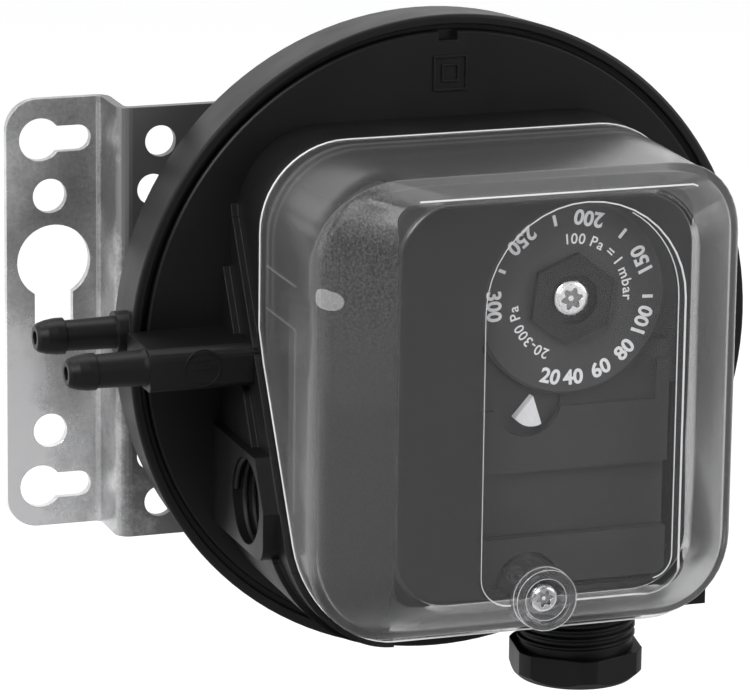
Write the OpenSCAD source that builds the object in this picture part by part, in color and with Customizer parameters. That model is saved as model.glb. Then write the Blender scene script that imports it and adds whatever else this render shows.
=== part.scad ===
// Differential pressure switch for air, on its wall bracket. Millimetres, +Z up, the wall is the plane y = 0.
// The origin is midway between the two round holes in the bracket's wall flange, on the wall.

/* [Round housing] */
// Diameter of the round housing at its front edge
disc_d = 113; // [108:1:120]
// Depth of the rim, from its front edge back
rim_depth = 14; // [12:0.5:16]
// Depth from the rim's front edge to the housing's flat back
housing_depth = 22; // [20.5:0.5:26]
// How much smaller the rim's rear edge is, on the radius
rim_draft = 1.2; // [0.5:0.1:2]
// Width of the rim's front face
rim_face = 1.8; // [1.4:0.1:2.4]
// Width of the groove between the rim and the front plate
groove_w = 1.1; // [0.8:0.1:1.6]
// Depth of that groove
groove_depth = 1.6; // [1:0.1:2]

/* [Switch box] */
// Width of the box and of its cover
box_w = 75.4; // [72:0.2:78]
// Height of the box above the housing's axis
box_top = 38.8; // [37:0.2:41]
// Height of the box below the housing's axis
box_bottom = 40.7; // [40.5:0.1:44]
// Corner radius of the box, seen from the front
box_corner_r = 15; // [12:0.5:17]
// Thickness of the box's walls
box_wall = 2.2; // [1.8:0.1:2.6]
// Height of the upper half of the box above the front plate
upper_rim = 12; // [10:0.5:14]
// Rise of the sloped lower rim for each millimetre down
rim_slope = 0.6; // [0.5:0.02:0.62]
// Width of each of the two steps round the lower half
step_w = 1.2; // [0.8:0.1:1.4]
// Distance between the two steps, back from the front
step_gap = 6.5; // [5:0.5:8]

/* [Clear cover] */
// Height of the cover's shoulder above the front plate
cover_shoulder = 41; // [40:0.5:43]
// Height of the cover's flat panel above the front plate
cover_front = 51; // [50:0.5:53]
// Width of the flat panel
panel_w = 52; // [48:1:56]
// Wall thickness of the cover
cover_wall = 2; // [1.6:0.1:2.2]
// Thickness of the gasket under the cover
gasket_t = 0.8; // [0.6:0.1:1.2]

/* [Dial and window] */
// Distance of the dial's axis from the housing's axis, to the right
dial_x = 6.3; // [5:0.1:7]
// Height of the dial's axis above the housing's axis
dial_z = 16.9; // [16:0.1:17.5]
// Diameter of the dial
dial_d = 33; // [31:0.5:34]
// Height of the dial's face above the front plate
dial_face = 43.5; // [43:0.1:44]
// Width across flats of the hub on the dial
hub_af = 13.5; // [12:0.5:15]
// Width of the arched window
window_w = 34.6; // [33.5:0.1:36]
// Top of the window above the housing's axis
window_top = 34.3; // [33.5:0.1:35]
// Foot of the window below the housing's axis
window_foot = 31.4; // [30:0.1:31.8]

/* [Hose barbs] */
// Diameter at the land of a hose barb
barb_land_d = 6.3; // [5.8:0.1:7]
// Diameter of the bore through a hose barb
barb_bore_d = 2.4; // [1.8:0.1:2.8]
// Distance of the barb tips from the housing's axis
barb_reach = 71.5; // [68:0.5:74]

/* [Cable entries] */
// Diameter of the gland's outer thread
gland_d = 19.6; // [19:0.1:20]
// Width across flats of the gland nut
gland_nut_af = 21.6; // [21.4:0.1:23]
// Diameter of the cable hole through the gland's seal
cable_d = 8; // [6:0.5:9]
// Diameter of the open conduit thread in the left wall
conduit_d = 14.8; // [14:0.1:15.4]

/* [Wall bracket] */
// Thickness of the bracket's sheet
sheet_t = 1.5; // [1:0.1:2]
// Height of the bracket
bracket_h = 77; // [74:1:90]
// Offset between the wall flange and the plate that carries the housing
bracket_jog = 11.2; // [9.5:0.1:14]
// Distance from the housing's axis to the round holes in the flange
hole_reach = 61.2; // [61:0.1:62]
// Distance between the two round holes in the flange
hole_pitch = 42.4; // [40:0.2:44]
// Diameter of the round holes in the flange
hole_d = 6.1; // [5.5:0.1:6.4]

/* [Hidden] */

$fn = 48;
running = 0.05;     // radial clearance of a shaft in its bore
free_gap = 0.3;     // space between pieces that move past each other
disc_r = disc_d / 2;
axis_y = -(bracket_jog + sheet_t + housing_depth); // the rim's front edge, measured from the wall
box_hw = box_w / 2;
slope_zero = 15.6 / rim_slope; // height at which the sloped rim would meet the front plate
well_r = disc_r - rim_face;              // inside of the rim
plate_r = well_r - groove_w;             // edge of the front plate
ledge_r = disc_r - 9.5;                  // inside of the ledge that the diaphragm lies on
ledge_y = 6;                             // depth of that ledge
membrane_t = 0.8;                        // thickness of the diaphragm
floor_t = 3.5;                           // thickness of the rear housing's floor
front_plate_t = 2.6;                     // thickness of the front plate over the chamber
seat_y = ledge_y - membrane_t;           // rear face of the front housing's rim
chamber_r = ledge_r;                     // radius of the chamber in front of the diaphragm
pin_r = 2.5;                             // radius of the diaphragm plate's pin
minus_z = 1.1;                           // height of the - port's bar and barb
minus_y = -10.2;                         // depth of the - barb's axis
minus_bar = [7.2, 14];                   // height and depth of the bar that carries the - barb
plus_z = 3.7;                            // height of the + barb
plus_y = 4.4;                            // depth of the + barb's axis
gland_x = box_hw - 19.7;                 // place of the cable gland
gland_y = -20;
conduit_y = -18.4;                       // place of the open conduit thread
conduit_z = -21.1;
screw_z = -32.4;                         // height of the cover screw

// Moves a piece from the housing's own axes to the wall frame.
module on_wall() translate([hole_reach, axis_y, 0]) children();

// Extrudes an outline seen from the front, from depth y0 back to y1.
module front_prism(y0, y1) translate([0, y1, 0]) rotate([90, 0, 0]) linear_extrude(y1 - y0) children();

// Extrudes an outline seen from the side (depth, height) from x0 to x1.
module side_prism(x0, x1) translate([x0, 0, 0]) rotate([90, 0, 90]) linear_extrude(x1 - x0) children();

// A round bar or cone along Y from y0 to y1.
module rod_y(y0, y1, r, r_end = undef)
    translate([0, y0, 0]) rotate([-90, 0, 0]) cylinder(h = y1 - y0, r1 = r, r2 = is_undef(r_end) ? r : r_end);

// A round bar or cone along X from x0 to x1.
module rod_x(x0, x1, r, r_end = undef)
    translate([x0, 0, 0]) rotate([0, 90, 0]) cylinder(h = x1 - x0, r1 = r, r2 = is_undef(r_end) ? r : r_end);

// A round bar or cone along Z from z0 to z1.
module rod_z(z0, z1, r, r_end = undef)
    translate([0, 0, z0]) cylinder(h = z1 - z0, r1 = r, r2 = is_undef(r_end) ? r : r_end);

// A solid of revolution about Y: the outline holds [radius, depth] points.
module turned(points) rotate([-90, 0, 0]) rotate_extrude() polygon(points);

// A rectangle with true round corners.
module round_rect(low, high, r) {
    translate([low[0] + r, low[1]]) square([high[0] - low[0] - 2 * r, high[1] - low[1]]);
    translate([low[0], low[1] + r]) square([high[0] - low[0], high[1] - low[1] - 2 * r]);
    for (x = [low[0] + r, high[0] - r], y = [low[1] + r, high[1] - r]) translate([x, y]) circle(r);
}

// Points of the arc that rounds corner b between its neighbours a and c.
function rounded_corner(a, b, c, r, n = 8) =
    let (u = (a - b) / norm(a - b), v = (c - b) / norm(c - b), half = acos(u * v) / 2,
        mid = b + (u + v) / norm(u + v) * (r / sin(half)),
        from = b + u * (r / tan(half)), start = atan2(from[1] - mid[1], from[0] - mid[0]),
        turn = (180 - 2 * half) * (u[0] * v[1] - u[1] * v[0] > 0 ? -1 : 1))
    r == 0 ? [b] : [for (i = [0:n]) mid + r * [cos(start + turn * i / n), sin(start + turn * i / n)]];

// An outline with each corner rounded by its own radius.
function rounded_outline(p, radii, n = 8) = let (k = len(p))
    [for (i = [0:k - 1]) each rounded_corner(p[(i + k - 1) % k], p[i], p[(i + 1) % k], radii[i], n)];

// Depth of the box's rim at a height z, measured forward from the front plate.
function rim_at(z) = max(upper_rim, (slope_zero - z) * rim_slope);

// Outline of the box from the front, grown by g.
module box_outline(g = 0)
    round_rect([-box_hw - g, -box_bottom - g], [box_hw + g, box_top + g], box_corner_r + g);

// Side view of what lies behind the box's rim, moved back by shift; the lower part alone when upper is false.
module behind_rim(shift = 0, upper = true, back = 0) {
    low = -box_bottom - 10;
    top = box_top + 10;
    knee = slope_zero - upper_rim / rim_slope;
    polygon(upper
        ? [[back, low], [-(slope_zero - low) * rim_slope + shift, low], [-upper_rim + shift, knee],
            [-upper_rim + shift, top], [back, top]]
        : [[0, low], [-(slope_zero - low) * rim_slope + shift, low], [0, slope_zero - shift / rim_slope]]);
}

// Corners of a sloped side of the cover, in [distance, height] pairs, moved inward by t.
function slope_corners(side, panel, shoulder, front, t) =
    let (run = [panel - side, front - shoulder], n = [run[1], -run[0]] / norm(run),
        c = n * [side, shoulder] - t)
    [[side - t, (c - n[0] * (side - t)) / n[1]], [(c - n[1] * (front - t)) / n[0], front - t]];

// Solid form of the cover, moved inward by t, from the wall's foot at depth 0.
module cover_form(t, round_big = 5, round_small = 2.5) {
    side = slope_corners(box_hw, panel_w / 2, cover_shoulder, cover_front, t);
    top = slope_corners(box_top, box_top - 2.2, cover_front - 7, cover_front, t);
    foot = slope_corners(box_bottom, box_bottom - 7.2, cover_shoulder, cover_front, t);
    intersection() {
        front_prism(-cover_front, 0) box_outline(-t);
        translate([0, 0, -100]) linear_extrude(200) polygon(rounded_outline(
            [[-side[0][0], 1], [-side[0][0], -side[0][1]], [-side[1][0], -side[1][1]],
                [side[1][0], -side[1][1]], [side[0][0], -side[0][1]], [side[0][0], 1]],
            [0, round_big - t, round_small, round_small, round_big - t, 0], 5));
        side_prism(-100, 100) polygon(rounded_outline(
            [[1, -foot[0][0]], [-foot[0][1], -foot[0][0]], [-foot[1][1], -foot[1][0]],
                [-top[1][1], top[1][0]], [-top[0][1], top[0][0]], [1, top[0][0]]],
            [0, round_big - t, round_small, 1.5, 3, 0], 5));
    }
}

// A hose barb along X from its tip to x_foot: a barrel-shaped head with a land, and a shaft that grows to foot_r.
module barb(tip, x_foot, shaft_r, foot_r) {
    land = barb_land_d / 2;
    rod_x(tip, tip + 0.5, land - 1.1, land - 0.65);
    rod_x(tip + 0.5, tip + 1.8, land - 0.65, land - 0.25);
    rod_x(tip + 1.8, tip + 3.5, land - 0.25, land);
    rod_x(tip + 3.5, tip + 4.9, land);
    rod_x(tip + 4.9, x_foot, shaft_r, foot_r);
}

// A screw along Y: its head's back at depth y, its shank forward to y_tip when ahead is true.
module screw_y(y, y_tip, shank_r, head_r, head_t) {
    rod_y(min(y, y_tip), max(y, y_tip), shank_r);
    rod_y(y_tip < y ? y : y - head_t, y_tip < y ? y + head_t : y, head_r);
}

// Places a child at each of n stations on a circle seen from the front.
module ring_of(n, r, first = 0)
    for (i = [0:n - 1]) translate([r * cos(first + 360 * i / n), 0, r * sin(first + 360 * i / n)]) children();

/* Wall bracket and what fastens it */

keyhole_r = 3.8;
keyhole_slot = 4.6;
keyhole_z = 31.3;
keyhole_x = -1.7;          // from the line of the round holes
keyhole_end = 7.4;         // end of the side slots from the line of the round holes
hanger_r = 6.6;
hanger_z = 9.4;
hanger_slot = 6.9;
hanger_end = -5.5;
plate_hole_d = 5.5;
plate_holes = [[-44.5, 32.4], [-45.9, 23.9]];
web_x = -52;
flange_edge = -69;
plate_edge = 36;
bracket_corner_r = 5.5;
bracket_screw_spot = [ledge_r - 26, ledge_r - 27];
bracket_screw_r = 2;

module bracket_section() {
    back = housing_depth + sheet_t;
    wall = housing_depth + bracket_jog;
    polygon(rounded_outline(
        [[flange_edge, wall + sheet_t], [flange_edge, wall], [web_x, wall], [web_x, housing_depth],
            [plate_edge, housing_depth], [plate_edge, back], [web_x + sheet_t, back], [web_x + sheet_t, wall + sheet_t]],
        [0, 0, 1, 2.5, 0, 0, 1, 2.5], 6));
}

module mounting_bracket() color("silver") on_wall() {
    hh = bracket_h / 2;
    depth = housing_depth + bracket_jog + sheet_t;
    difference() {
        intersection() {
            translate([0, 0, -hh]) linear_extrude(bracket_h) bracket_section();
            front_prism(0, depth + 1) round_rect([flange_edge, -hh], [plate_edge, hh], bracket_corner_r);
        }
        for (s = [-1, 1]) {
            translate([-hole_reach, 0, s * hole_pitch / 2]) rod_y(housing_depth + 4, depth + 1, hole_d / 2);
            translate([-hole_reach + keyhole_x, 0, s * keyhole_z]) {
                rod_y(housing_depth + 4, depth + 1, keyhole_r);
                front_prism(housing_depth + 4, depth + 1) {
                    translate([0, -keyhole_slot / 2])
                        square([keyhole_end - keyhole_x - keyhole_slot / 2, keyhole_slot]);
                    translate([keyhole_end - keyhole_x - keyhole_slot / 2, 0]) circle(keyhole_slot / 2);
                }
            }
            for (p = plate_holes) translate([p[0], 0, s * p[1]])
                rod_y(housing_depth - 1, housing_depth + sheet_t + 1, plate_hole_d / 2);
            for (t = [-1, 1]) translate([t * bracket_screw_spot[0], 0, s * bracket_screw_spot[1]])
                rod_y(housing_depth - 1, housing_depth + sheet_t + 1, bracket_screw_r + 0.3);
        }
        translate([-hole_reach + 0.7, 0, 0]) {
            translate([0, 0, hanger_z]) rod_y(housing_depth + 4, depth + 1, hanger_r);
            front_prism(housing_depth + 4, depth + 1) {
                translate([-hanger_slot / 2, hanger_end + hanger_slot / 2])
                    square([hanger_slot, hanger_z - hanger_end - hanger_slot / 2]);
                translate([0, hanger_end + hanger_slot / 2]) circle(hanger_slot / 2);
            }
        }
    }
}

module bracket_screws() color("gainsboro") on_wall()
    for (x = [-1, 1], z = [-1, 1]) translate([x * bracket_screw_spot[0], 0, z * bracket_screw_spot[1]])
        screw_y(housing_depth + sheet_t, housing_depth - 6, bracket_screw_r, 3.8, 2.2);

/* Round housing and what it clamps */

boss_r = 4.2;
boss_depth = 5;
clamp_r = disc_r - 5.3;    // circle of the screws that hold the two housings together
clamp_count = 6;
clamp_shank_r = 1.1;
clamp_head_r = 1.8;
clamp_head_y = 12.4;

module rear_housing() color("#2b2b2d") on_wall() {
    back_r = ledge_r + 2;
    difference() {
        union() {
            turned(rounded_outline([[0, housing_depth], [0, housing_depth - floor_t],
                [ledge_r, housing_depth - floor_t], [ledge_r, ledge_y], [plate_r + 0.05, ledge_y],
                [plate_r + 0.05, groove_depth], [well_r, groove_depth], [well_r, 0], [disc_r, 0],
                [disc_r - rim_draft, rim_depth], [back_r, rim_depth], [back_r - 1.4, housing_depth]],
                [0, 0, 3, 0, 0, 0, 0, 0.25, 0.5, 0.8, 0.5, 1.5], 2));
            for (x = [-1, 1], z = [-1, 1]) translate([x * bracket_screw_spot[0], 0, z * bracket_screw_spot[1]])
                rod_y(housing_depth - floor_t - boss_depth, housing_depth - 1, boss_r);
            translate([0, plus_y, plus_z]) {
                barb(-barb_reach - 0.5, -disc_r + 1.5, barb_land_d / 2 - 0.5, barb_land_d / 2 - 0.3);
                rod_x(-disc_r - 1.6, -disc_r + 1.5, 3.6);
            }
        }
        translate([0, plus_y, plus_z]) rod_x(-barb_reach - 1, -disc_r, barb_bore_d / 2);
        // slanting bore from the barb to the chamber behind the diaphragm
        translate([-disc_r - 0.3, plus_y, plus_z]) rotate([0, 0, 45]) rod_x(0, 14, 0.8);
        for (x = [-1, 1], z = [-1, 1]) translate([x * bracket_screw_spot[0], 0, z * bracket_screw_spot[1]])
            rod_y(housing_depth - 6.4, housing_depth + 1, bracket_screw_r);
        ring_of(clamp_count, clamp_r, 30) {
            rod_y(ledge_y - 1, clamp_head_y, clamp_shank_r + 0.2);
            rod_y(clamp_head_y, rim_depth + 5, clamp_head_r + 0.3);
        }
    }
}

module housing_screws() color("gainsboro") on_wall() ring_of(clamp_count, clamp_r, 30)
    screw_y(clamp_head_y, groove_depth + 0.4, clamp_shank_r, clamp_head_r, 1.4);

stack_r = ledge_r - 9;
stack_t = 1.2;
roll_r = 3.2;                // the diaphragm's round fold
roll_mid = ledge_r - 4.4;

module diaphragm() color("dimgray") on_wall() {
    back_r = roll_r + membrane_t;
    a0 = asin(membrane_t / back_r);
    difference() {
        turned(concat([[0, seat_y]],
            [for (i = [0:8]) [roll_mid - roll_r * cos(22.5 * i), seat_y + roll_r * sin(22.5 * i)]],
            [[plate_r - 0.2, seat_y], [plate_r - 0.2, seat_y + membrane_t]],
            [for (i = [0:8]) let (a = a0 + (180 - 2 * a0) * i / 8)
                [roll_mid + back_r * cos(a), seat_y + back_r * sin(a)]],
            [[0, seat_y + membrane_t]]));
        ring_of(clamp_count, clamp_r, 30) rod_y(0, 10, clamp_shank_r + 0.2);
    }
}

stack_y = seat_y - free_gap - stack_t;  // front of the diaphragm plate
lever_back = -6.5;         // rear face of the lever

module diaphragm_plate() color("lightgray") on_wall() {
    turned([[0, stack_y], [stack_r - 3, stack_y], [stack_r, stack_y + 0.6], [stack_r, stack_y + stack_t],
        [0, stack_y + stack_t]]);
    rod_y(lever_back + free_gap, stack_y, pin_r);
}

/* Front housing: one moulding, drawn as its plate, the four walls of the switch box and the - port */

minus_duct_x = -45;
boss_z = 17.2;                         // height of the conduit's boss
split_top = box_top - box_corner_r;    // heights at which the box's walls are divided
split_low = conduit_z - boss_z / 2 - 0.2;
step_end = box_corner_r - box_hw;      // the two steps go round the lower left corner as far as this

module front_housing() color("#1e1e20") on_wall() difference() {
    union() {
        turned([[0, 0], [plate_r - 0.3, 0], [plate_r, 0.3], [plate_r, seat_y], [chamber_r, seat_y],
            [chamber_r - 1, front_plate_t], [0, front_plate_t]]);
        // ears that hold the lever's pivot pin
        for (z = ear_z) front_prism(eye_y - 3, 0.5) translate([pivot_x - 3, z - 1.5]) square([6, 3]);
        front_prism(-3.5, 0.5) circle(6);
        translate([0, 0, screw_z]) rod_y(-36, 0.5, 3.4);
    }
    rod_y(-4, 6, pin_r + running);
    translate([minus_duct_x, 0, minus_z]) rod_y(-1, 5, barb_bore_d / 2);
    translate([0, 0, screw_z]) rod_y(-37, -18, 1.6);
    ring_of(clamp_count, clamp_r, 30) rod_y(groove_depth + 0.4, 8, clamp_shank_r);
    for (z = ear_z) translate([pivot_x, eye_y, z]) rod_z(-2, 2, pivot_r);
    // locating notch at the top of the plate's edge
    translate([-1.7, -1, plate_r - 1.6]) cube([3.4, 1 + groove_depth, 3]);
}

// The box's outer form, with two steps round its lower left corner.
module box_form() for (i = [0:2]) intersection() {
    front_prism(-cover_shoulder - 8, 0.5) intersection() {
        box_outline(step_w * i);
        translate([-60, -60]) square([i == 0 ? 120 : 60 + step_end, 120]);
    }
    side_prism(-box_w, box_w) behind_rim(step_gap * max(i - 1, 0), i == 0);
}

// All four walls, the boss for the conduit, the block at the lower right and the collar round the gland.
module box_shell() difference() {
    union() {
        difference() {
            box_form();
            front_prism(-cover_shoulder - 9, 1) box_outline(-box_wall);
        }
        side_prism(-box_hw - 2 * step_w - 1.6, -box_hw + box_wall) intersection() {
            polygon(rounded_outline(
                [[0, conduit_z - boss_z / 2], [conduit_y - 9.6, conduit_z - boss_z / 2],
                    [conduit_y - 9.6, conduit_z + boss_z / 2], [0, conduit_z + boss_z / 2]], [0, 3, 3, 0], 6));
            behind_rim(0.2);
        }
        side_prism(box_hw - 6, box_hw + 2.3) translate([-25, -box_bottom - 4]) square([13, 11]);
        translate([gland_x, gland_y, 0]) rod_z(-box_bottom - 2.4, -box_bottom + box_wall, gland_d / 2 + 2.4);
    }
    translate([0, conduit_y, conduit_z]) rod_x(-box_hw - 6, -box_hw + box_wall + 1, conduit_d / 2);
    translate([gland_x, gland_y, 0]) rod_z(-box_bottom - 5, -box_bottom + 4, gland_d / 2 + running);
}

// The part of the box's walls between two corners of the front view.
module box_part(low, high) color("#1e1e20") on_wall() intersection() {
    box_shell();
    front_prism(-60, 1) translate(low) square(high - low);
}

module box_top_wall() box_part([-60, split_top], [60, 60]);

module box_left_wall() box_part([-60, split_low], [0, split_top]);

module box_right_wall() box_part([0, split_low], [60, split_top]);

module box_foot_wall() box_part([-60, -60], [60, split_low]);

module minus_port() color("#1e1e20") on_wall() {
    bar_z = minus_z - minus_bar[0] / 2;
    end = -disc_r - 0.6;
    difference() {
        intersection() {
            union() {
                side_prism(end, -box_hw) polygon(rounded_outline(
                    [[0, bar_z], [-minus_bar[1], bar_z], [-minus_bar[1], bar_z + minus_bar[0]],
                        [0, bar_z + minus_bar[0]]], [0, 1, 2.6, 0], 6));
                translate([0, minus_y, minus_z]) {
                    barb(-barb_reach + 0.8, end + 1, barb_land_d / 2 - 0.3, barb_land_d / 2);
                    rod_x(end - 0.9, end + 1, barb_land_d / 2 - 0.1, barb_land_d / 2 + 0.35);
                }
            }
            // the bar stands on the plate and clears the groove and the rim
            union() {
                front_prism(-60, 0) circle(plate_r - 0.3);
                front_prism(-60, -0.2) square(300, center = true);
            }
        }
        box_form();
        translate([-box_hw - free_gap, -60, bar_z - 1]) cube([2, 60 - rim_at(minus_z) + 2.4, minus_bar[0] + 2]);
        translate([0, minus_y, minus_z]) {
            rod_x(-barb_reach - 1, minus_duct_x + 1, barb_bore_d / 2);
            translate([minus_duct_x, 0, 0]) rod_y(0, 20, barb_bore_d / 2);
        }
    }
}

// The gasket lies on the box's rim, with the cover on it.
module cover_gasket() color("#0e0e0e") on_wall() intersection() {
    front_prism(-cover_shoulder - 8, 0) difference() {
        box_outline(-0.2);
        box_outline(-box_wall + 0.2);
    }
    difference() {
        side_prism(-box_w, box_w) translate([-gasket_t, 0]) behind_rim();
        side_prism(-box_w - 1, box_w + 1) behind_rim();
    }
    translate([-box_w, -cover_shoulder + 1.2, -60]) cube([2 * box_w, 60, 120]);
}

/* Clear cover and its screw */

tower_r = 5.4;
cover_screw_head_r = 2.35;

module clear_cover() color("#c8d0d4", 0.35) on_wall() {
    difference() {
        union() {
            difference() {
                cover_form(0);
                cover_form(cover_wall);
            }
            intersection() {
                translate([0, 0, screw_z]) rod_y(-cover_front - 1.2, -36 - free_gap, tower_r);
                union() {
                    cover_form(0);
                    translate([-10, -60, screw_z - tower_r]) cube([20, 60, 2 * tower_r]);
                }
            }
        }
        side_prism(-box_w, box_w) behind_rim(-gasket_t, back = 1);
        translate([0, 0, screw_z]) {
            rod_y(-cover_front - 3, -cover_front + 1.4, cover_screw_head_r + 1.1);
            rod_y(-60, -30, 1.9);
        }
    }
}

module cover_screw() color("gainsboro") on_wall() translate([0, 0, screw_z]) difference() {
    union() {
        rod_y(-cover_front - 0.6, -cover_front + 1.4, cover_screw_head_r - 0.4, cover_screw_head_r);
        rod_y(-cover_front + 1.4, -24, 1.5);
    }
    for (a = [0, 90]) rotate([0, a, 0]) translate([-1.5, -cover_front - 1, -0.3]) cube([3, 1.4, 0.6]);
}

/* Dial, hub, pointer and the plates round them */

hub_h = 2.6;
dial_t = 2;
frame_front = -cover_front + cover_wall + 0.6;   // front of the window frame
frame_t = 1.4;
carrier_front = -36;
carrier_t = 2;
spindle_r = 3;

// Outline of the arched window, grown by g.
module window_outline(g = 0) {
    half = window_w / 2 + g;
    round_rect([dial_x - half, -window_foot - g], [dial_x + half, window_top - window_w / 2], 4);
    translate([dial_x, window_top - window_w / 2]) circle(half);
    translate([dial_x - half, 0]) square([2 * half, window_top - window_w / 2]);
}

module window_frame() color("#3a3a3c") on_wall() {
    half = panel_w / 2 - 0.6;
    difference() {
        union() {
            front_prism(frame_front, frame_front + frame_t)
                round_rect([-half, -window_foot - 1], [half, window_top + 0.7], 3);
            for (z = [3, 28]) translate([-half + 7, 0, z]) rod_y(frame_front + frame_t, carrier_front, 2);
        }
        front_prism(frame_front - 1, frame_front + frame_t + 1) window_outline();
        translate([0, 0, screw_z]) rod_y(-60, -30, tower_r + free_gap);
    }
}

module at_dial() on_wall() translate([dial_x, 0, dial_z]) children();

module dial() color("#303032") at_dial() difference() {
    turned([[0, -dial_face], [dial_d / 2 - 0.5, -dial_face], [dial_d / 2, -dial_face + 0.5],
        [dial_d / 2, -dial_face + dial_t], [6, -dial_face + dial_t], [6, -dial_face + dial_t + 2.4],
        [0, -dial_face + dial_t + 2.4]]);
    rod_y(-dial_face - 1, -30, 1.6);
}

module dial_hub() color("#1c1c1e") at_dial() difference() {
    rotate([0, -6, 0]) front_prism(-dial_face - hub_h, -dial_face) circle(hub_af / sqrt(3), $fn = 6);
    rod_y(-dial_face - hub_h - 1, -dial_face - hub_h + 1.2, 4.4);
    rod_y(-dial_face - hub_h - 1, -30, 1.6);
}

module dial_screw() color("gainsboro") at_dial() difference() {
    union() {
        turned([[0, -dial_face - hub_h - 0.9], [2.2, -dial_face - hub_h - 0.9], [3.3, -dial_face - hub_h + 0.1],
            [3.3, -dial_face - hub_h + 1.2], [0, -dial_face - hub_h + 1.2]]);
        rod_y(-dial_face - hub_h + 1.2, -dial_face + 7, 1.5);
    }
    front_prism(-dial_face - hub_h - 2, -dial_face - hub_h + 0.2) {
        circle(1.2);
        for (i = [0:5]) rotate(60 * i) translate([1.2, 0]) circle(0.38);
    }
}

plates_front = -42.6;      // front of the terminal cover

module pointer() color("white") on_wall() front_prism(plates_front - 0.4, plates_front + 1.4) {
    polygon([[0.2, 0.3], [1.7, -4.6], [-0.8, -4.8], [-3.2, -3.2]]);
}

module terminal_cover() color("#38383a") on_wall() {
    x0 = dial_x - window_w / 2 - 1;
    x1 = dial_x + window_w / 2 + 1;
    z_steps = [-1.7, -12.7, -24, -window_foot - 1];
    difference() {
        union() {
            for (i = [0:2]) front_prism(plates_front + (i == 1 ? 1.8 : 0), carrier_front - 2)
                translate([x0, z_steps[i + 1]]) square([x1 - x0, z_steps[i] - z_steps[i + 1] - 0.15]);
            front_prism(plates_front + 0.9, carrier_front - 2) translate([x0, -1.9]) square([x1 - x0, 10]);
            front_prism(carrier_front - 3, carrier_front) translate([x0 + 1, -30]) square([4, 37]);
            front_prism(plates_front, carrier_front - 2) translate([22.4, -3.5]) square([x1 - 22.4, 8.5]);
        }
        // room for the dial, the pointer's well and the cover screw's tower
        translate([dial_x, 0, dial_z]) rod_y(-60, -30, dial_d / 2 + free_gap);
        translate([-0.6, 0, -0.6]) rod_y(-60, plates_front + 1.4, 6);
        translate([0, 0, screw_z]) rod_y(-60, -30, tower_r + free_gap);
    }
}

/* Chassis, spindle, spring, lever */

lever_t = 1.5;
lever_front = lever_back - lever_t;
pivot_x = box_hw - 12.7;
pivot_r = 1;
ear_z = [-5.6, 18.4];
eye_r = 2.2;
eye_y = lever_back - lever_t - 0.6;
seat_front = -31;          // front of the spring seat at the lowest setting
seat_t = 2.5;
seat_travel = 6;
spring_r = 5;
wire_r = 0.55;
turns = 7;
switch_x = 4.7 - box_hw;   // left side of the chassis and of the microswitch
switch_l = 28;
button_x = 13.7 - box_hw;
button_z = 8;

module switch_carrier() color("#444446") on_wall() {
    x0 = switch_x;
    x1 = -switch_x;
    difference() {
        union() {
            front_prism(carrier_front, carrier_front + carrier_t) round_rect([x0, -1], [x1, 32], 4);
            // posts that stand on the front plate
            for (x = [x0 + 3.4, x1 - 3.4]) translate([x, 0, 27]) rod_y(carrier_front + carrier_t, 0, 3);
            translate([x1 - 2, 0, 2]) rod_y(carrier_front + carrier_t, 0, 2.2);
            // legs that hold the microswitch
            for (x = [2, switch_l - 6]) front_prism(carrier_front + carrier_t, -28) translate([switch_x + x, 5]) square([4, 6]);
            // bearing for the setting spindle
            translate([dial_x, 0, dial_z]) rod_y(carrier_front - 2, carrier_front + carrier_t, 5.6);
        }
        translate([dial_x, 0, dial_z]) rod_y(-60, -30, spindle_r + running);
    }
}

module setting_spindle() color("silver") at_dial() difference() {
    rod_y(-dial_face + dial_t + 2.4, -13, spindle_r);
    rod_y(-60, -dial_face + 7.2, 1.5);
}

module spring_seat() color("goldenrod") at_dial() difference() {
    rod_y(seat_front, seat_front + seat_t, 7);
    rod_y(-60, 0, spindle_r + running);
    for (a = [0, 180]) rotate([0, a, 0]) translate([6, seat_front - 1, -1]) cube([2, seat_t + 2, 2]);
}

// A coil of round wire swept along a helix about Y.
module measuring_spring() color("lightsteelblue") at_dial() {
    y0 = seat_front + seat_t + wire_r + 0.05;
    y1 = lever_front - wire_r - 0.8;
    steps = turns * 14;
    sides = 6;
    ring = [for (i = [0:steps]) let (a = 360 * turns * i / steps, y = y0 + (y1 - y0) * i / steps)
        for (j = [0:sides - 1]) let (b = 360 * j / sides, r = spring_r + wire_r * cos(b))
            [r * cos(a), y + wire_r * sin(b), r * sin(a)]];
    side = [for (i = [0:steps - 1], j = [0:sides - 1]) let (k = (j + 1) % sides)
        [i * sides + j, i * sides + k, (i + 1) * sides + k, (i + 1) * sides + j]];
    polyhedron(ring, concat(side, [[for (j = [sides - 1:-1:0]) j], [for (j = [0:sides - 1]) steps * sides + j]]));
}

module lever() color("lightgray") on_wall() difference() {
    union() {
        front_prism(lever_front, lever_back) union() {
            translate([button_x - 4, 3]) square([pivot_x - button_x + 4, 10]);
            translate([-5, -4]) square([pivot_x + 5, 20.6]);
            translate([dial_x, dial_z]) circle(7.6);
        }
        translate([pivot_x, eye_y, 0]) rod_z(-3.8, 16.6, eye_r);
    }
    translate([pivot_x, eye_y, 0]) rod_z(-10, 30, pivot_r + running);
}

module lever_pin() color("silver") on_wall() translate([pivot_x, eye_y, 0]) rod_z(-7, 19.8, pivot_r);

/* Microswitch and terminals */

module microswitch() color("#5a1f1f") on_wall() difference() {
    front_prism(-28, -12.4) translate([switch_x, 3]) square([switch_l, 10.2]);
    translate([button_x, 0, button_z]) rod_y(-20, -12, 1.5 + running);
    for (x = [3.5, switch_l - 4]) translate([switch_x + x, -20, 0]) rod_z(0, 20, 1.5);
}

module switch_button() color("firebrick") on_wall() translate([button_x, 0, button_z])
    rod_y(-17.5, lever_front - 0.25, 1.5);

terminal_pitch = 9;
terminal_first = 4;

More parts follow.
